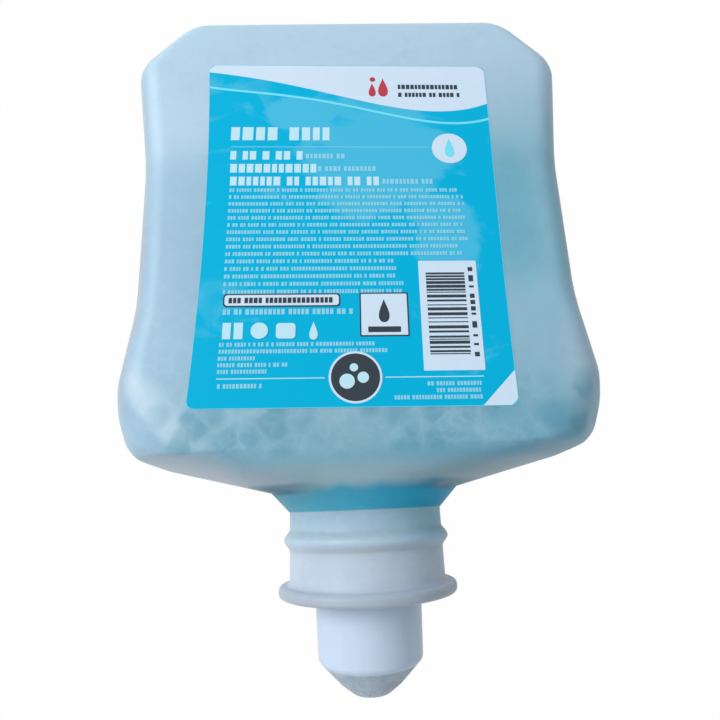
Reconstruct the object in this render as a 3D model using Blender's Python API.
"""Hand soap refill pack: a one litre translucent bottle with its own foam pump and dust cap.

The pack is modelled as it hangs in a dispenser: neck down, heights counted up from the
mouth of the neck, label towards -Y. One empty then lays it on its back, so that the label
looks up, the closed end points to +Y and the dust cap to -Y. Lengths are metres.
"""

import math

import bmesh
import bpy
from mathutils import Matrix, Vector

MM = 0.001

# Clearances
GAP = 0.3 * MM  # between pieces that rest on or in each other
END_GAP = 0.6 * MM  # left between moving pieces at the end of the stroke

# Bottle body, seen from the front: half widths, and heights where the sides turn
BODY_LENGTH = 180.7 * MM  # mouth to closed end
HALF_DEPTH = 30.3 * MM
WALL = 1.2 * MM
END_HALF_WIDTH = 51.4 * MM  # flat closed end
END_CORNER_ROUND = 4.0 * MM
BEVEL_HEIGHT = 19.3 * MM  # slanted corner, down from the closed end
TOP_HALF_WIDTH = 68.8 * MM
TOP_CORNER_ROUND = 7.9 * MM
WAIST_DROP = 55.9 * MM  # closed end to the upper end of the waist
WAIST_HALF_WIDTH = 64.0 * MM
LOW_WAIST_HEIGHT = 79.8 * MM
LOW_WAIST_HALF_WIDTH = 63.0 * MM
WAIST_ROUND = 60.0 * MM
HIP_HEIGHT = 49.5 * MM
HIP_HALF_WIDTH = 67.2 * MM
HIP_ROUND = 24.0 * MM
UNDERHIP_HEIGHT = 39.0 * MM
UNDERHIP_HALF_WIDTH = 65.4 * MM
UNDERHIP_ROUND = 12.0 * MM
SHOULDER_HEIGHT = 35.6 * MM
SHOULDER_HALF_WIDTH = 57.0 * MM
SHOULDER_ROUND = 6.0 * MM
CORNER_SHARE = 0.48  # most of a straight run that one corner may round off

# Bottle body, seen from the side and in section
END_EDGE_ROUND = 8.0 * MM  # closed end to front and back
SIDE_EDGE_ROUND = 9.0 * MM  # sides to front and back
EDGE_SPREAD_HEIGHT = 57.0 * MM  # below this the same edges grow rounder, down to the panel's foot
FOOT_EDGE_ROUND = 21.0 * MM
PANEL_FOOT_HEIGHT = 38.4 * MM  # front and back start to round into the cone here
FOOT_BLEND = 0.8  # how early the section turns from box to circle
EDGE_SHARE = 0.95  # most of a narrow section that its round edges may take
END_PANEL_RECESS = 0.8 * MM
END_PANEL_MARGIN = 6.0 * MM

# Neck
CONE_TOP_RADIUS = 27.7 * MM
CONE_TOP_HEIGHT = 28.3 * MM
NECK_RADIUS = 22.3 * MM
NECK_HEIGHT = 22.6 * MM
NECK_WALL = 1.6 * MM
BEAD_HEIGHT = 15.0 * MM
BEAD_HALF_LENGTH = 2.9 * MM
BEAD_STAND_OUT = 1.6 * MM
BEAD_FULLNESS = 0.8  # under 1 makes its crown broader
BEAD_WALL = 1.7 * MM
BEAD_GROOVE_HALF_LENGTH = 1.6 * MM
LIP_RADIUS = 25.4 * MM
LIP_THICKNESS = 3.0 * MM
LIP_FILLET = 2.4 * MM
LIP_ROUND = 1.2 * MM
MOUTH_SEAT_WIDTH = 1.7 * MM
MOUTH_SEAT_DEPTH = 1.6 * MM

# Soap
AIR_LAYER = 2.4 * MM  # under the front wall while the pack lies down
SOAP_CLEARANCE = 0.6 * MM  # more than GAP, because the facets of the shoulder are twisted

# Label
LABEL_WIDTH = 84.4 * MM  # at half its length
LABEL_FLARE = 0.8 * MM  # each long edge stands this much further out at both ends
LABEL_TAPER = 0.6 * MM  # and this much more at the closed end, less at the neck end
LABEL_LENGTH = 111.2 * MM
LABEL_CORNER = 3.0 * MM
LABEL_THICKNESS = 0.25 * MM
LABEL_DROP = 22.6 * MM  # closed end to the label's upper edge
LABEL_SHIFT = -1.0 * MM
LABEL_TURN = math.radians(-1.3)  # laid on slightly askew
LABEL_BOW = 0.9 * MM  # its long edges bend sideways by this much
LABEL_STEPS = 6

# Pump body, pressed into the neck
PUMP_WALL = 2.2 * MM
PUMP_TOP = 22.9 * MM
PUMP_PLATE = 2.0 * MM
PUMP_RIM_THICKNESS = 1.0 * MM
SNAP_RING_HALF_LENGTH = 1.1 * MM
SNAP_RING_CLEARANCE = 0.45 * MM
SEAL_DROP = 2.9 * MM  # pump top to the seal's groove
SEAL_GROOVE_LENGTH = 2.0 * MM
SEAL_GROOVE_DEPTH = 1.0 * MM

# Guide collar, which closes the pump body and holds the cap
COLLAR_RECESS = 1.1 * MM
COLLAR_THICKNESS = 1.4 * MM
COLLAR_SLEEVE_LENGTH = 1.2 * MM
COLLAR_SLEEVE_WALL = 1.0 * MM
SPIGOT_RADIUS = 13.6 * MM
SPIGOT_WALL = 0.8 * MM
SPIGOT_LENGTH = 5.1 * MM

# Plunger
STROKE = 8.0 * MM
PISTON_REST_GAP = 0.5 * MM
AIR_DISC = 1.4 * MM
AIR_LIP_LENGTH = 3.8 * MM
AIR_LIP_WALL = 0.5 * MM
AIR_HUB_LENGTH = 2.6 * MM
AIR_HUB_WALL = 1.4 * MM
AIR_HOLE_RADIUS = 0.9 * MM
AIR_HOLE_CIRCLE = 12.6 * MM
AIR_HOLES = 6
AIR_FLAP_WIDTH = 4.8 * MM
AIR_FLAP_THICKNESS = 0.5 * MM
STEM_FOOT_RADIUS = 4.6 * MM
STEM_FOOT_DROP = 0.7 * MM  # below the air piston
STEM_RADIUS = 3.2 * MM
STEM_BORE = 1.6 * MM
STEM_SOCKET = 3.0 * MM
STEM_SOCKET_DEPTH = 2.7 * MM
DUCKBILL_FLANGE = 0.7 * MM
DUCKBILL_WALL = 0.8 * MM
DUCKBILL_TIP_RADIUS = 0.7 * MM
STEM_HEAD_RADIUS = 4.0 * MM
STEM_HEAD = 0.6 * MM
LIQUID_PISTON_LENGTH = 1.6 * MM
LIQUID_PISTON_FLOOR = 0.6  # share of that length under its lip

# Liquid cylinder and its valve
CYLINDER_BORE = 5.0 * MM
CYLINDER_WALL = 1.5 * MM
CYLINDER_FLANGE_WIDTH = 3.0 * MM
CYLINDER_FLANGE = 1.0 * MM
CYLINDER_SEAT = 1.2 * MM
PORT_RADIUS = 0.8 * MM
PORT_CIRCLE = 2.8 * MM
PORTS = 4
VALVE_DISC = 0.5 * MM
VALVE_DISC_RADIUS = 4.3 * MM
VALVE_STEM_RADIUS = 0.6 * MM
VALVE_BULB_RADIUS = 1.3 * MM
VALVE_BULB_LENGTH = 1.4 * MM

# Return spring
SPRING_WIRE = 1.0 * MM
SPRING_RADIUS = 8.4 * MM
SPRING_TURNS = 4.5
SPRING_END_TURNS = 0.8
SPRING_STEPS = 14  # points in one turn

# Nozzle and its foam screens
NOZZLE_RADIUS = 9.0 * MM
NOZZLE_BORE = 6.6 * MM
NOZZLE_OUTLET = 4.2 * MM
NOZZLE_SHOULDER_DROP = 1.1 * MM  # flange top to the inner shoulder
NOZZLE_TIP_LENGTH = 5.0 * MM
NOZZLE_TIP_BEVEL = 1.6 * MM
NOZZLE_FLANGE = 2.0 * MM
SLEEVE_LENGTH = 7.2 * MM
SLEEVE_WALL = 1.4 * MM
SCREEN_THICKNESS = 0.4 * MM
SCREEN_RIM = 1.1 * MM
SCREEN_STRAND = 0.6 * MM
COARSE_ACROSS = 3  # holes in a row of the net
FINE_ACROSS = 5

# Dust cap
CAP_WALL = 1.3 * MM
CAP_REACH = 25.6 * MM  # mouth to tip
CAP_CREASE = 16.4 * MM  # mouth to the edge where the cone end starts
CAP_DRAFT = 0.35 * MM
CAP_CREASE_ROUND = 1.6 * MM
CAP_CONE_MID_RADIUS = 8.5 * MM
CAP_CONE_MID = 22.3 * MM
CAP_TIP_RADIUS = 3.2 * MM
CAP_TIP_ROUND = 4.0 * MM

# Faceting
QUARTER = 9  # points in a quarter of a section
RING = 4 * QUARTER
SMALL_RING = 20  # points round the small inner pieces
ARC_STEP = math.radians(20.0)
RING_SPACING = 1.5 * MM  # least height between two rings of the body
MERGE = 0.001 * MM

# Levels worked out from the sizes above, as heights over the mouth
BORE = NECK_RADIUS - NECK_WALL
CHAMBER = BORE - GAP - PUMP_WALL
COLLAR_TOP = COLLAR_RECESS + COLLAR_THICKNESS
COLLAR_FOOT = COLLAR_RECESS - COLLAR_SLEEVE_LENGTH
PISTON_LEVEL = COLLAR_TOP + PISTON_REST_GAP
HUB_TOP = PISTON_LEVEL + AIR_HUB_LENGTH
CYLINDER_FOOT = HUB_TOP + STROKE + END_GAP
LIQUID_PISTON_LEVEL = CYLINDER_FOOT + GAP
HEAD_LEVEL = LIQUID_PISTON_LEVEL + LIQUID_PISTON_LENGTH + GAP
HEAD_TOP = HEAD_LEVEL + STEM_HEAD
VALVE_LEVEL = HEAD_TOP + STROKE + END_GAP
SEAT_LEVEL = VALVE_LEVEL + VALVE_DISC + GAP
CYLINDER_TOP = SEAT_LEVEL + CYLINDER_SEAT
CYLINDER_RADIUS = CYLINDER_BORE + CYLINDER_WALL
CYLINDER_FLANGE_LEVEL = PUMP_TOP + GAP
BULB_TOP = CYLINDER_TOP + GAP + VALVE_BULB_LENGTH
NOZZLE_TOP = PISTON_LEVEL - GAP
NOZZLE_FLANGE_TOP = COLLAR_FOOT - STROKE - END_GAP
NOZZLE_SHOULDER = NOZZLE_FLANGE_TOP - NOZZLE_SHOULDER_DROP
NOZZLE_TIP = NOZZLE_FLANGE_TOP - NOZZLE_FLANGE - NOZZLE_TIP_LENGTH
STEM_FOOT = PISTON_LEVEL - STEM_FOOT_DROP
CAP_RIM = COLLAR_RECESS - GAP
CAP_BORE = SPIGOT_RADIUS + GAP


def material(name, colour, roughness, metallic=0.0):
    look = bpy.data.materials.new(name)
    look.use_nodes = True
    shader = look.node_tree.nodes["Principled BSDF"]
    shader.inputs["Base Color"].default_value = (*colour, 1.0)
    shader.inputs["Roughness"].default_value = roughness
    shader.inputs["Metallic"].default_value = metallic
    look.diffuse_color = (*colour, 1.0)
    return look


def finish(name, bm, look, parent, seat=0.0, flat_angle=35.0):
    """One object from a closed mesh, shaded smooth, its origin on the neck's axis."""
    bmesh.ops.remove_doubles(bm, verts=bm.verts[:], dist=MERGE)
    bmesh.ops.recalc_face_normals(bm, faces=bm.faces[:])
    mesh = bpy.data.meshes.new(name)
    bm.to_mesh(mesh)
    bm.free()
    mesh.shade_smooth()
    mesh.set_sharp_from_angle(angle=math.radians(flat_angle))
    piece = bpy.data.objects.new(name, mesh)
    piece.location = (0.0, 0.0, seat)
    piece.parent = parent
    mesh.materials.append(look)
    bpy.context.collection.objects.link(piece)
    return piece


def corner_arc(before, corner, after, radius):
    """Points of the fillet of this radius between two straight runs."""
    to_before = Vector(before) - Vector(corner)
    to_after = Vector(after) - Vector(corner)
    room = CORNER_SHARE * min(to_before.length, to_after.length)
    to_before.normalize()
    to_after.normalize()
    half = to_before.angle(to_after) / 2
    reach = min(radius / math.tan(half), room)
    radius = reach * math.tan(half)
    middle = Vector(corner) + (to_before + to_after).normalized() * radius / math.sin(half)
    start = Vector(corner) + to_before * reach - middle
    sweep = start.angle_signed(Vector(corner) + to_after * reach - middle)
    steps = max(1, math.ceil(abs(sweep) / ARC_STEP))
    return [middle + Matrix.Rotation(-sweep * i / steps, 2) @ start for i in range(steps + 1)]


def rounded(corners, closed=True):
    """An outline from (radius, height) corners; a third number rounds that corner off."""
    points = []
    for i, corner in enumerate(corners):
        inner = closed or 0 < i < len(corners) - 1
        if len(corner) == 3 and corner[2] > 0 and inner:
            before = corners[i - 1][:2]
            after = corners[(i + 1) % len(corners)][:2]
            points += corner_arc(before, corner[:2], after, corner[2])
        else:
            points.append(Vector(corner[:2]))
    return points


def turned(name, corners, look, parent, seat=0.0, around=RING):
    """A body of revolution about the neck's axis, from the outline of its section."""
    on_axis = corners[0][0] == 0.0 and corners[-1][0] == 0.0
    points = rounded(corners, closed=not on_axis)
    bm = bmesh.new()
    verts = [bm.verts.new((p.x, 0.0, p.y)) for p in points]
    pairs = list(zip(verts, verts[1:]))
    if not on_axis:
        pairs.append((verts[-1], verts[0]))
    edges = [bm.edges.new(pair) for pair in pairs]
    bmesh.ops.spin(bm, geom=verts + edges, cent=(0, 0, 0), axis=(0, 0, 1), dvec=(0, 0, 0),
                   angle=math.tau, steps=around, use_merge=True)
    return finish(name, bm, look, parent, seat)


def section(half_width, half_depth, edge, roundness, height):
    """One ring of the bottle: a box with round edges, or a circle where roundness is 1."""
    edge = min(edge, EDGE_SHARE * half_width, EDGE_SHARE * half_depth)
    side = half_width - edge
    front = half_depth - edge
    box = [(half_width, 0.0)]
    for i in range(5):
        turn = math.radians(90.0 * i / 4)
        box.append((side + edge * math.cos(turn), front + edge * math.sin(turn)))
    box += [(side * share, half_depth) for share in (0.75, 0.5, 0.25)]
    quarter = []
    for i, (x, y) in enumerate(box):
        turn = math.radians(90.0 * i / QUARTER)
        round_x = half_width * math.cos(turn)
        round_y = half_depth * math.sin(turn)
        quarter.append((x + (round_x - x) * roundness, y + (round_y - y) * roundness))
    half = quarter + [(0.0, half_depth)] + [(-x, y) for x, y in quarter[:0:-1]]
    return [(x, y, height) for x, y in half + [(-x, -y) for x, y in half]]


def circle(radius, height):
    return section(radius, radius, radius, 1.0, height)


def loft(rings):
    """A closed skin through rings of equal count, with a flat cap at each end."""
    bm = bmesh.new()
    loops = [[bm.verts.new(point) for point in ring] for ring in rings]
    for lower, upper in zip(loops, loops[1:]):
        for i in range(RING):
            j = (i + 1) % RING
            bm.faces.new((lower[i], lower[j], upper[j], upper[i]))
    bm.faces.new(loops[0])
    bm.faces.new(loops[-1])
    return bm


def front_outline():
    """Half of the body from the front, closed end to neck, as (half width, height)."""
    return rounded([
        (0.0, BODY_LENGTH),
        (END_HALF_WIDTH, BODY_LENGTH, END_CORNER_ROUND),
        (TOP_HALF_WIDTH, BODY_LENGTH - BEVEL_HEIGHT, TOP_CORNER_ROUND),
        (WAIST_HALF_WIDTH, BODY_LENGTH - WAIST_DROP, WAIST_ROUND),
        (LOW_WAIST_HALF_WIDTH, LOW_WAIST_HEIGHT, WAIST_ROUND),
        (HIP_HALF_WIDTH, HIP_HEIGHT, HIP_ROUND),
        (UNDERHIP_HALF_WIDTH, UNDERHIP_HEIGHT, UNDERHIP_ROUND),
        (SHOULDER_HALF_WIDTH, SHOULDER_HEIGHT, SHOULDER_ROUND),
        (CONE_TOP_RADIUS, CONE_TOP_HEIGHT),
        (NECK_RADIUS, NECK_HEIGHT),
    ], closed=False)


def side_outline():
    """Half of the body from the side, closed end to neck, as (half depth, height)."""
    drop = PANEL_FOOT_HEIGHT - CONE_TOP_HEIGHT
    foot = []
    for share in (0.0, 0.3, 0.55, 0.8, 1.0):
        depth = HALF_DEPTH + (CONE_TOP_RADIUS - HALF_DEPTH) * share ** 2
        foot.append(Vector((depth, PANEL_FOOT_HEIGHT - drop * share)))
    end = corner_arc((0.0, BODY_LENGTH), (HALF_DEPTH, BODY_LENGTH), foot[0], END_EDGE_ROUND)
    return [Vector((0.0, BODY_LENGTH))] + end + foot + [Vector((NECK_RADIUS, NECK_HEIGHT))]


def inset(outline, distance):
    """The outline moved inwards by this distance, corners along their mitre."""
    moved = []
    for i, point in enumerate(outline):
        normals = []
        for a, b in ((i - 1, i), (i, i + 1)):
            if a >= 0 and b < len(outline):
                run = (outline[b] - outline[a]).normalized()
                normals.append(Vector((run.y, -run.x)))
        mitre = (normals[0] + normals[-1]) / (1.0 + normals[0].dot(normals[-1]))
        moved.append(point + mitre * distance)
    return moved


def reach_at(outline, height):
    """How far from the axis the outline lies at this height."""
    for upper, lower in zip(outline, outline[1:]):
        if upper.y >= height > lower.y:
            share = (upper.y - height) / (upper.y - lower.y)
            return upper.x + (lower.x - upper.x) * share
    return outline[-1].x if height <= outline[-1].y else outline[1].x


def ring_heights(distance, end_height):
    """Where the body, moved inwards by distance, needs a ring, from its closed end down."""
    front = inset(front_outline(), distance)
    side = inset(side_outline(), distance)
    foot = max(front[-1].y, side[-1].y)
    heights = [end_height]
    levels = {p.y for p in front + side} | {EDGE_SPREAD_HEIGHT}
    for height in sorted(levels, reverse=True):
        if foot < height < heights[-1] - RING_SPACING:
            heights.append(height)
    return heights + [foot]


def side_edge(height):
    """How round the edges between sides and front are at this height."""
    share = (EDGE_SPREAD_HEIGHT - height) / (EDGE_SPREAD_HEIGHT - PANEL_FOOT_HEIGHT)
    share = min(1.0, max(0.0, share))
    return SIDE_EDGE_ROUND + (FOOT_EDGE_ROUND - SIDE_EDGE_ROUND) * share


def body_rings(distance, heights):
    """Rings of the body, moved inwards by distance, at these heights."""
    front = inset(front_outline(), distance)
    side = inset(side_outline(), distance)
    rings = []
    for height in heights:
        share = (PANEL_FOOT_HEIGHT - height) / (PANEL_FOOT_HEIGHT - CONE_TOP_HEIGHT)
        share = min(1.0, max(0.0, share))
        rings.append(section(reach_at(front, height), reach_at(side, height),
                             max(side_edge(height) - distance, GAP), share ** FOOT_BLEND, height))
    return rings


def end_panel():
    """The flat closed end, with its panel sunk a little."""
    half_width = END_HALF_WIDTH - END_CORNER_ROUND
    half_depth = HALF_DEPTH - END_EDGE_ROUND
    rings = []
    for margin, height in ((END_PANEL_MARGIN + END_PANEL_RECESS, BODY_LENGTH - END_PANEL_RECESS),
                           (END_PANEL_MARGIN, BODY_LENGTH)):
        rings.append(section(half_width - margin, half_depth - margin, SIDE_EDGE_ROUND,
                             0.0, height))
    return rings


def neck_outside():
    """Bead and mouth lip, from under the cone down to the mouth."""
    bead = []
    for i in range(9):
        share = i / 4 - 1.0
        swell = BEAD_STAND_OUT * (0.5 + 0.5 * math.cos(math.pi * share)) ** BEAD_FULLNESS
        bead.append(circle(NECK_RADIUS + swell, BEAD_HEIGHT - BEAD_HALF_LENGTH * share))
    lip = rounded([
        (NECK_RADIUS, LIP_THICKNESS + 2 * LIP_FILLET),
        (NECK_RADIUS, LIP_THICKNESS, LIP_FILLET),
        (LIP_RADIUS, LIP_THICKNESS, LIP_ROUND),
        (LIP_RADIUS, 0.0, LIP_ROUND),
        (BORE + MOUTH_SEAT_WIDTH, 0.0),
    ], closed=False)
    return bead + [circle(p.x, p.y) for p in lip[1:]]


def neck_inside():
    """Mouth seat and the groove inside the bead, from the mouth up to the cone."""
    groove = NECK_RADIUS + BEAD_STAND_OUT - BEAD_WALL
    slant = groove - BORE
    return [circle(radius, height) for radius, height in (
        (BORE + MOUTH_SEAT_WIDTH, MOUTH_SEAT_DEPTH),
        (BORE, MOUTH_SEAT_DEPTH),
        (BORE, BEAD_HEIGHT - BEAD_GROOVE_HALF_LENGTH - slant),
        (groove, BEAD_HEIGHT - BEAD_GROOVE_HALF_LENGTH),
        (groove, BEAD_HEIGHT + BEAD_GROOVE_HALF_LENGTH),
        (BORE, BEAD_HEIGHT + BEAD_GROOVE_HALF_LENGTH + slant),
        (BORE, NECK_HEIGHT),
    )]


def make_bottle(parent):
    look = material("bottle_plastic", (0.55, 0.74, 0.84), 0.32)
    inner_end = BODY_LENGTH - END_PANEL_RECESS - WALL
    outside = body_rings(0.0, ring_heights(0.0, BODY_LENGTH))
    inside = body_rings(WALL, ring_heights(WALL, inner_end))
    rings = end_panel() + outside + neck_outside() + neck_inside() + inside[::-1]
    return finish("bottle", loft(rings), look, parent)


def make_soap(parent):
    """The soap fills the bottle up to the air under its front wall, round the pump."""
    look = material("soap", (0.10, 0.52, 0.68), 0.15)
    inner_end = BODY_LENGTH - END_PANEL_RECESS - WALL
    level = HALF_DEPTH - WALL - AIR_LAYER
    foot = PUMP_TOP + GAP
    collar = CYLINDER_RADIUS + CYLINDER_FLANGE_WIDTH + GAP
    pocket = [
        circle(BORE - GAP, foot),
        circle(collar, foot),
        circle(collar, CYLINDER_FLANGE_LEVEL + CYLINDER_FLANGE + GAP),
        circle(CYLINDER_RADIUS + GAP, CYLINDER_FLANGE_LEVEL + CYLINDER_FLANGE + GAP),
        circle(CYLINDER_RADIUS + GAP, BULB_TOP + GAP),
    ]
    end = inner_end - SOAP_CLEARANCE
    heights = [end] + [z for z in ring_heights(WALL, inner_end) if foot + GAP < z < end]
    bm = loft(body_rings(WALL + SOAP_CLEARANCE, heights) + pocket)
    surface = bmesh.ops.bisect_plane(
        bm, geom=bm.verts[:] + bm.edges[:] + bm.faces[:], dist=MERGE,
        plane_co=(0.0, -level, 0.0), plane_no=(0.0, -1.0, 0.0), clear_outer=True)
    rim = [item for item in surface["geom_cut"] if isinstance(item, bmesh.types.BMEdge)]
    bmesh.ops.contextual_create(bm, geom=rim)
    return finish("soap_charge", bm, look, parent)


def make_label(parent):
    """A thin film on the front panel, its long edges flared and slightly bowed."""
    look = material("label_print", (0.02, 0.45, 0.74), 0.38)
    half_width = LABEL_WIDTH / 2
    half_length = LABEL_LENGTH / 2
    corners = []
    for side in (1, -1):
        for i in range(LABEL_STEPS + 1):
            share = side * (2 * i / LABEL_STEPS - 1.0)
            reach = half_width + LABEL_FLARE * share ** 2 + LABEL_TAPER * share
            across = reach * side - LABEL_BOW * share ** 2
            is_corner = i in (0, LABEL_STEPS)
            corners.append((across, half_length * share, LABEL_CORNER if is_corner else 0.0))
    bm = bmesh.new()
    film = bm.faces.new([bm.verts.new((p.x, 0.0, p.y)) for p in rounded(corners)])
    lifted = bmesh.ops.extrude_face_region(bm, geom=[film])
    lifted_verts = [v for v in lifted["geom"] if isinstance(v, bmesh.types.BMVert)]
    bmesh.ops.translate(bm, vec=(0.0, -LABEL_THICKNESS, 0.0), verts=lifted_verts)
    label = finish("front_label", bm, look, parent)
    label.location = (LABEL_SHIFT, -HALF_DEPTH - GAP, BODY_LENGTH - LABEL_DROP - half_length)
    label.rotation_euler = (0.0, -LABEL_TURN, 0.0)
    return label


def drill(piece, name, radius, places, low, high, sides=10):
    """Cuts round holes along the neck's axis, one at each (x, y) place."""
    bm = bmesh.new()
    for x, y in places:
        put = Matrix.Translation((x, y, (low + high) / 2))
        bmesh.ops.create_cone(bm, cap_ends=True, segments=sides, radius1=radius,
                              radius2=radius, depth=high - low, matrix=put)
    cut(piece, name, bm)


def cut(piece, name, bm):
    cutter = finish(name, bm, piece.data.materials[0], piece.parent, piece.location.z)
    cutter.hide_render = True
    cutter.display_type = "WIRE"
    holes = piece.modifiers.new("holes", "BOOLEAN")
    holes.operation = "DIFFERENCE"
    holes.solver = "EXACT"
    holes.object = cutter


def on_circle(count, radius):
    turns = [math.tau * i / count for i in range(count)]
    return [(radius * math.cos(turn), radius * math.sin(turn)) for turn in turns]


def make_pump_body(parent, look):
    """A cup pressed into the neck: air chamber below, plate with the cylinder's hole above."""
    outer = BORE - GAP
    rim_seat = MOUTH_SEAT_DEPTH - GAP
    groove = NECK_RADIUS + BEAD_STAND_OUT - BEAD_WALL
    snap = groove - SNAP_RING_CLEARANCE
    seal_top = PUMP_TOP - SEAL_DROP
    seal_foot = seal_top - SEAL_GROOVE_LENGTH
    plate_foot = PUMP_TOP - PUMP_PLATE
    return turned("pump_body", [
        (CHAMBER, rim_seat - PUMP_RIM_THICKNESS),
        (BORE + MOUTH_SEAT_WIDTH - GAP, rim_seat - PUMP_RIM_THICKNESS),
        (BORE + MOUTH_SEAT_WIDTH - GAP, rim_seat),
        (outer, rim_seat),
        (outer, BEAD_HEIGHT - SNAP_RING_HALF_LENGTH - (snap - outer)),
        (snap, BEAD_HEIGHT - SNAP_RING_HALF_LENGTH),
        (snap, BEAD_HEIGHT + SNAP_RING_HALF_LENGTH - (snap - outer) / 2),
        (outer, BEAD_HEIGHT + SNAP_RING_HALF_LENGTH),
        (outer, seal_foot),
        (outer - SEAL_GROOVE_DEPTH, seal_foot),
        (outer - SEAL_GROOVE_DEPTH, seal_top),
        (outer, seal_top),
        (outer, PUMP_TOP),
        (CYLINDER_RADIUS + GAP, PUMP_TOP),
        (CYLINDER_RADIUS + GAP, plate_foot),
        (CHAMBER, plate_foot),
    ], look, parent)


def make_neck_seal(parent, look):
    inner = BORE - SEAL_GROOVE_DEPTH
    middle = (inner + BORE - GAP) / 2
    length = SEAL_GROOVE_LENGTH - 2 * GAP
    return turned("neck_seal", [
        (middle, 0.0),
        (BORE - GAP, length / 3),
        (BORE - GAP, length * 2 / 3),
        (middle, length),
        (inner, length * 2 / 3),
        (inner, length / 3),
    ], look, parent, seat=PUMP_TOP - SEAL_DROP - SEAL_GROOVE_LENGTH + GAP)


def make_liquid_cylinder(parent, look):
    """A measuring tube through the pump's plate, closed above by the ported valve seat."""
    flange = CYLINDER_FLANGE_LEVEL - CYLINDER_FOOT
    seat = SEAT_LEVEL - CYLINDER_FOOT
    top = CYLINDER_TOP - CYLINDER_FOOT
    valve_hole = VALVE_STEM_RADIUS + GAP
    cylinder = turned("liquid_cylinder", [
        (CYLINDER_BORE, 0.0),
        (CYLINDER_RADIUS, 0.0),
        (CYLINDER_RADIUS, flange),
        (CYLINDER_RADIUS + CYLINDER_FLANGE_WIDTH, flange),
        (CYLINDER_RADIUS + CYLINDER_FLANGE_WIDTH, flange + CYLINDER_FLANGE),
        (CYLINDER_RADIUS, flange + CYLINDER_FLANGE),
        (CYLINDER_RADIUS, top),
        (valve_hole, top),
        (valve_hole, seat),
        (CYLINDER_BORE, seat),
    ], look, parent, seat=CYLINDER_FOOT, around=SMALL_RING)
    drill(cylinder, "port_cutter", PORT_RADIUS, on_circle(PORTS, PORT_CIRCLE),
          seat - GAP, top + GAP)
    return cylinder


def make_inlet_valve(parent, look):
    """An umbrella: its disc closes the ports from below, its bulb holds it in the seat."""
    bulb = CYLINDER_TOP + GAP - VALVE_LEVEL
    return turned("inlet_valve", [
        (0.0, 0.0),
        (VALVE_STEM_RADIUS, 0.0),
        (VALVE_DISC_RADIUS, VALVE_DISC / 2),
        (VALVE_DISC_RADIUS, VALVE_DISC),
        (VALVE_STEM_RADIUS, VALVE_DISC),
        (VALVE_STEM_RADIUS, bulb),
        (VALVE_BULB_RADIUS, bulb),
        (VALVE_STEM_RADIUS, bulb + VALVE_BULB_LENGTH),
        (0.0, bulb + VALVE_BULB_LENGTH),
    ], look, parent, seat=VALVE_LEVEL, around=SMALL_RING)


def make_guide_collar(parent, look):
    """Ring that closes the pump body, guides the nozzle and carries the cap's spigot."""
    foot = COLLAR_RECESS - SPIGOT_LENGTH
    guide = NOZZLE_RADIUS + GAP
    return turned("guide_collar", [
        (guide, COLLAR_FOOT),
        (guide + COLLAR_SLEEVE_WALL, COLLAR_FOOT),
        (guide + COLLAR_SLEEVE_WALL, COLLAR_RECESS),
        (SPIGOT_RADIUS - SPIGOT_WALL, COLLAR_RECESS),
        (SPIGOT_RADIUS - SPIGOT_WALL, foot),
        (SPIGOT_RADIUS - SPIGOT_WALL / 2, foot),
        (SPIGOT_RADIUS, foot + SPIGOT_WALL),
        (SPIGOT_RADIUS, COLLAR_RECESS),
        (CHAMBER - GAP, COLLAR_RECESS),
        (CHAMBER - GAP, COLLAR_TOP),
        (guide, COLLAR_TOP),
    ], look, parent)


def make_air_piston(parent, look):
    """A wide disc with a double lip, air holes under its flap and a hub for the stem."""
    bore = STEM_FOOT_RADIUS + GAP
    rim = CHAMBER - GAP
    root = rim - 2 * AIR_LIP_WALL
    piston = turned("air_piston", [
        (bore, 0.0),
        (bore, AIR_HUB_LENGTH),
        (bore + AIR_HUB_WALL, AIR_HUB_LENGTH),
        (bore + AIR_HUB_WALL, AIR_DISC),
        (root - AIR_LIP_WALL, AIR_DISC),
        (rim - AIR_LIP_WALL, AIR_LIP_LENGTH),
        (rim, AIR_LIP_LENGTH),
        (rim - AIR_LIP_WALL, AIR_DISC),
        (rim, 0.0),
        (rim - AIR_LIP_WALL, 0.0),
        (root - AIR_LIP_WALL, AIR_DISC / 3),
        (root - 2 * AIR_LIP_WALL, 0.0),
    ], look, parent, seat=PISTON_LEVEL)
    drill(piston, "air_hole_cutter", AIR_HOLE_RADIUS, on_circle(AIR_HOLES, AIR_HOLE_CIRCLE),
          -GAP, AIR_DISC + GAP, sides=8)
    return piston


def make_air_valve(parent, look):
    """A flat rubber ring over the air holes."""
    return turned("air_valve", [
        (AIR_HOLE_CIRCLE - AIR_FLAP_WIDTH / 2, 0.0),
        (AIR_HOLE_CIRCLE + AIR_FLAP_WIDTH / 2, 0.0),
        (AIR_HOLE_CIRCLE + AIR_FLAP_WIDTH / 2, AIR_FLAP_THICKNESS / 2),
        (AIR_HOLE_CIRCLE - AIR_FLAP_WIDTH / 2, AIR_FLAP_THICKNESS),
    ], look, parent, seat=PISTON_LEVEL + AIR_DISC + GAP)


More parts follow.
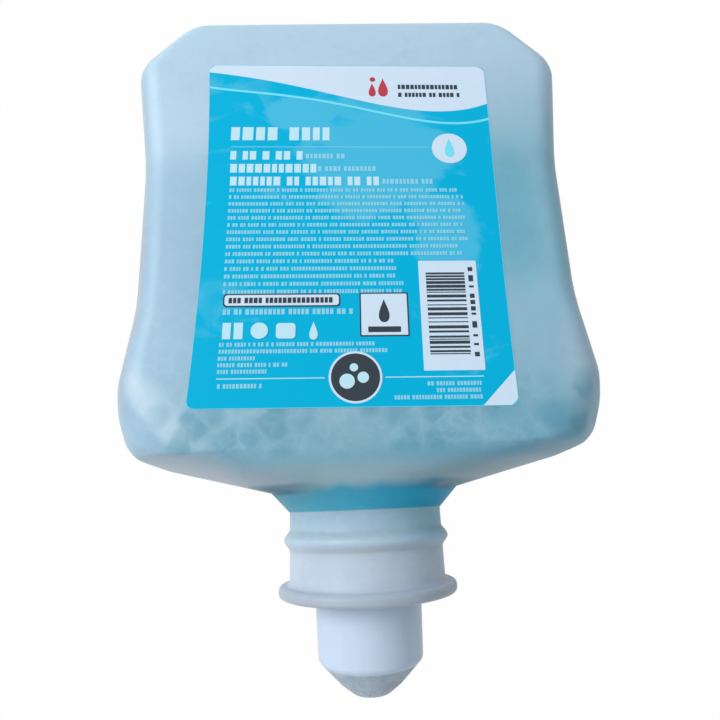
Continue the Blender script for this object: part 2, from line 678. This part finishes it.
def make_piston_stem(parent, look):
    """A hollow rod: its foot sits in the air piston's hub, its head holds the small piston."""
    hub_top = HUB_TOP - STEM_FOOT
    head = HEAD_LEVEL - STEM_FOOT
    step = LIQUID_PISTON_LEVEL - GAP - STEM_FOOT
    core = STEM_RADIUS - CYLINDER_WALL / 2
    return turned("piston_stem", [
        (STEM_SOCKET, 0.0),
        (STEM_FOOT_RADIUS, 0.0),
        (STEM_FOOT_RADIUS, hub_top),
        (STEM_RADIUS, hub_top + (STEM_FOOT_RADIUS - STEM_RADIUS)),
        (STEM_RADIUS, step),
        (core, step),
        (core, head),
        (STEM_HEAD_RADIUS, head),
        (STEM_HEAD_RADIUS, head + STEM_HEAD),
        (STEM_BORE, head + STEM_HEAD),
        (STEM_BORE, STEM_SOCKET_DEPTH),
        (STEM_SOCKET, STEM_SOCKET_DEPTH),
    ], look, parent, seat=STEM_FOOT, around=SMALL_RING)


def make_liquid_piston(parent, look):
    """A cup seal on the stem, its lip towards the cylinder's closed end."""
    inner = STEM_RADIUS - CYLINDER_WALL / 2 + GAP
    lip = CYLINDER_BORE - GAP
    length = LIQUID_PISTON_LENGTH
    return turned("liquid_piston", [
        (inner, 0.0),
        (lip - GAP, 0.0),
        (lip, length),
        (lip - GAP, length),
        (STEM_HEAD_RADIUS - GAP, length * LIQUID_PISTON_FLOOR),
        (inner, length * LIQUID_PISTON_FLOOR),
    ], look, parent, seat=LIQUID_PISTON_LEVEL, around=SMALL_RING)


def make_outlet_valve(parent, look):
    """A duckbill in the stem's socket, closed below and open above."""
    wide = STEM_SOCKET - GAP
    top = STEM_SOCKET_DEPTH - 2 * GAP
    return turned("outlet_valve", [
        (0.0, 0.0),
        (DUCKBILL_TIP_RADIUS, 0.0),
        (wide - DUCKBILL_FLANGE, top - DUCKBILL_FLANGE),
        (wide, top - DUCKBILL_FLANGE),
        (wide, top),
        (wide - DUCKBILL_FLANGE - GAP, top),
        (DUCKBILL_TIP_RADIUS - GAP, DUCKBILL_WALL),
        (0.0, DUCKBILL_WALL),
    ], look, parent, seat=STEM_FOOT + GAP, around=SMALL_RING)


def make_nozzle(parent, look):
    """Foam outlet: its flange is what the dispenser pushes up."""
    flange_radius = SPIGOT_RADIUS - SPIGOT_WALL - GAP
    shoulder = NOZZLE_SHOULDER - NOZZLE_TIP
    flange_top = NOZZLE_FLANGE_TOP - NOZZLE_TIP
    top = NOZZLE_TOP - NOZZLE_TIP
    return turned("nozzle", [
        (NOZZLE_OUTLET, 0.0),
        (NOZZLE_RADIUS - NOZZLE_TIP_BEVEL, 0.0),
        (NOZZLE_RADIUS, NOZZLE_TIP_BEVEL),
        (NOZZLE_RADIUS, flange_top - NOZZLE_FLANGE),
        (flange_radius, flange_top - NOZZLE_FLANGE),
        (flange_radius, flange_top),
        (NOZZLE_RADIUS, flange_top),
        (NOZZLE_RADIUS, top),
        (NOZZLE_BORE, top),
        (NOZZLE_BORE, shoulder),
        (NOZZLE_OUTLET, shoulder),
    ], look, parent, seat=NOZZLE_TIP)


def make_screen_sleeve(parent, look):
    outer = NOZZLE_BORE - GAP
    return turned("screen_sleeve", [
        (outer - SLEEVE_WALL, 0.0),
        (outer, 0.0),
        (outer, SLEEVE_LENGTH),
        (outer - SLEEVE_WALL, SLEEVE_LENGTH),
    ], look, parent, seat=NOZZLE_SHOULDER + SCREEN_THICKNESS + 2 * GAP, around=SMALL_RING)


def make_screen(name, parent, look, seat, across):
    """A net: a thin disc with a square block of holes inside a plain rim."""
    radius = NOZZLE_BORE - GAP
    screen = turned(name, [
        (0.0, 0.0),
        (radius, 0.0),
        (radius, SCREEN_THICKNESS),
        (0.0, SCREEN_THICKNESS),
    ], look, parent, seat=seat, around=SMALL_RING)
    block = math.sqrt(2.0) * (radius - SCREEN_RIM)
    pitch = (block + SCREEN_STRAND) / across
    hole = pitch - SCREEN_STRAND
    places = [(i - (across - 1) / 2) * pitch for i in range(across)]
    bm = bmesh.new()
    for x in places:
        for y in places:
            size = Matrix.Diagonal((hole, hole, 4 * SCREEN_THICKNESS, 1.0))
            put = Matrix.Translation((x, y, SCREEN_THICKNESS / 2))
            bmesh.ops.create_cube(bm, size=1.0, matrix=put @ size)
    cut(screen, name + "_cutter", bm)
    return screen


def make_return_spring(parent, look):
    """A steel coil between the air piston and the pump's plate, with close end turns."""
    low = PISTON_LEVEL + AIR_DISC + GAP + SPRING_WIRE / 2
    high = PUMP_TOP - PUMP_PLATE - GAP - SPRING_WIRE / 2
    end_rise = SPRING_END_TURNS * (SPRING_WIRE + GAP)
    count = int(SPRING_TURNS * SPRING_STEPS)
    curve = bpy.data.curves.new("return_spring", "CURVE")
    curve.dimensions = "3D"
    curve.bevel_depth = SPRING_WIRE / 2
    curve.bevel_resolution = 1
    curve.use_fill_caps = True
    wire = curve.splines.new("POLY")
    wire.points.add(count)
    for i, point in enumerate(wire.points):
        turns = SPRING_TURNS * i / count
        from_top = SPRING_TURNS - turns
        if turns < SPRING_END_TURNS:
            height = low + turns * (SPRING_WIRE + GAP)
        elif from_top < SPRING_END_TURNS:
            height = high - from_top * (SPRING_WIRE + GAP)
        else:
            share = (turns - SPRING_END_TURNS) / (SPRING_TURNS - 2 * SPRING_END_TURNS)
            height = low + end_rise + (high - low - 2 * end_rise) * share
        around = math.tau * turns
        point.co = (SPRING_RADIUS * math.cos(around), SPRING_RADIUS * math.sin(around),
                    height, 1.0)
    curve.materials.append(look)
    spring = bpy.data.objects.new("return_spring", curve)
    spring.parent = parent
    bpy.context.collection.objects.link(spring)
    return spring


def make_dust_cap(parent, look):
    """A hollow cover over the nozzle, gripping the collar's spigot, with a cone end."""
    outer = CAP_BORE + CAP_WALL
    low = outer - CAP_DRAFT
    skin = CAP_WALL
    return turned("dust_cap", [
        (CAP_BORE, CAP_RIM),
        (outer, CAP_RIM),
        (low, -CAP_CREASE, CAP_CREASE_ROUND),
        (CAP_CONE_MID_RADIUS, -CAP_CONE_MID, CAP_TIP_ROUND),
        (CAP_TIP_RADIUS, -CAP_REACH, CAP_WALL),
        (0.0, -CAP_REACH),
        (0.0, skin - CAP_REACH),
        (CAP_TIP_RADIUS - skin / 2, skin - CAP_REACH),
        (CAP_CONE_MID_RADIUS - skin / 2, skin - CAP_CONE_MID),
        (low - skin, -CAP_CREASE + skin / 2),
    ], look, parent)


def empty(name, parent=None):
    holder = bpy.data.objects.new(name, None)
    holder.parent = parent
    bpy.context.collection.objects.link(holder)
    return holder


def main():
    for old in list(bpy.data.objects):
        bpy.data.objects.remove(old)

    pack = empty("pack")
    pack.location = (0.0, (CAP_REACH - BODY_LENGTH) / 2, HALF_DEPTH)
    pack.rotation_euler = (math.radians(-90.0), 0.0, 0.0)
    plunger = empty("plunger_axis", pack)
    cap = empty("cap_axis", pack)

    milky = material("pump_plastic", (0.72, 0.80, 0.86), 0.4)
    white = material("cap_plastic", (0.78, 0.84, 0.92), 0.42)
    rubber = material("seal_rubber", (0.75, 0.76, 0.78), 0.6)
    steel = material("spring_steel", (0.62, 0.63, 0.65), 0.25, 1.0)
    net = material("screen_net", (0.85, 0.87, 0.88), 0.5)

    make_bottle(pack)
    make_soap(pack)
    make_label(pack)
    make_pump_body(pack, milky)
    make_neck_seal(pack, rubber)
    make_liquid_cylinder(pack, milky)
    make_inlet_valve(pack, rubber)
    make_guide_collar(pack, milky)
    make_return_spring(pack, steel)

    make_piston_stem(plunger, milky)
    make_liquid_piston(plunger, rubber)
    make_air_piston(plunger, milky)
    make_air_valve(plunger, rubber)
    make_outlet_valve(plunger, rubber)
    make_nozzle(plunger, white)
    make_screen_sleeve(plunger, white)
    fine_seat = NOZZLE_SHOULDER + GAP
    coarse_seat = fine_seat + SCREEN_THICKNESS + SLEEVE_LENGTH + 2 * GAP
    make_screen("fine_screen", plunger, net, fine_seat, FINE_ACROSS)
    make_screen("coarse_screen", plunger, net, coarse_seat, COARSE_ACROSS)

    make_dust_cap(cap, white)


main()
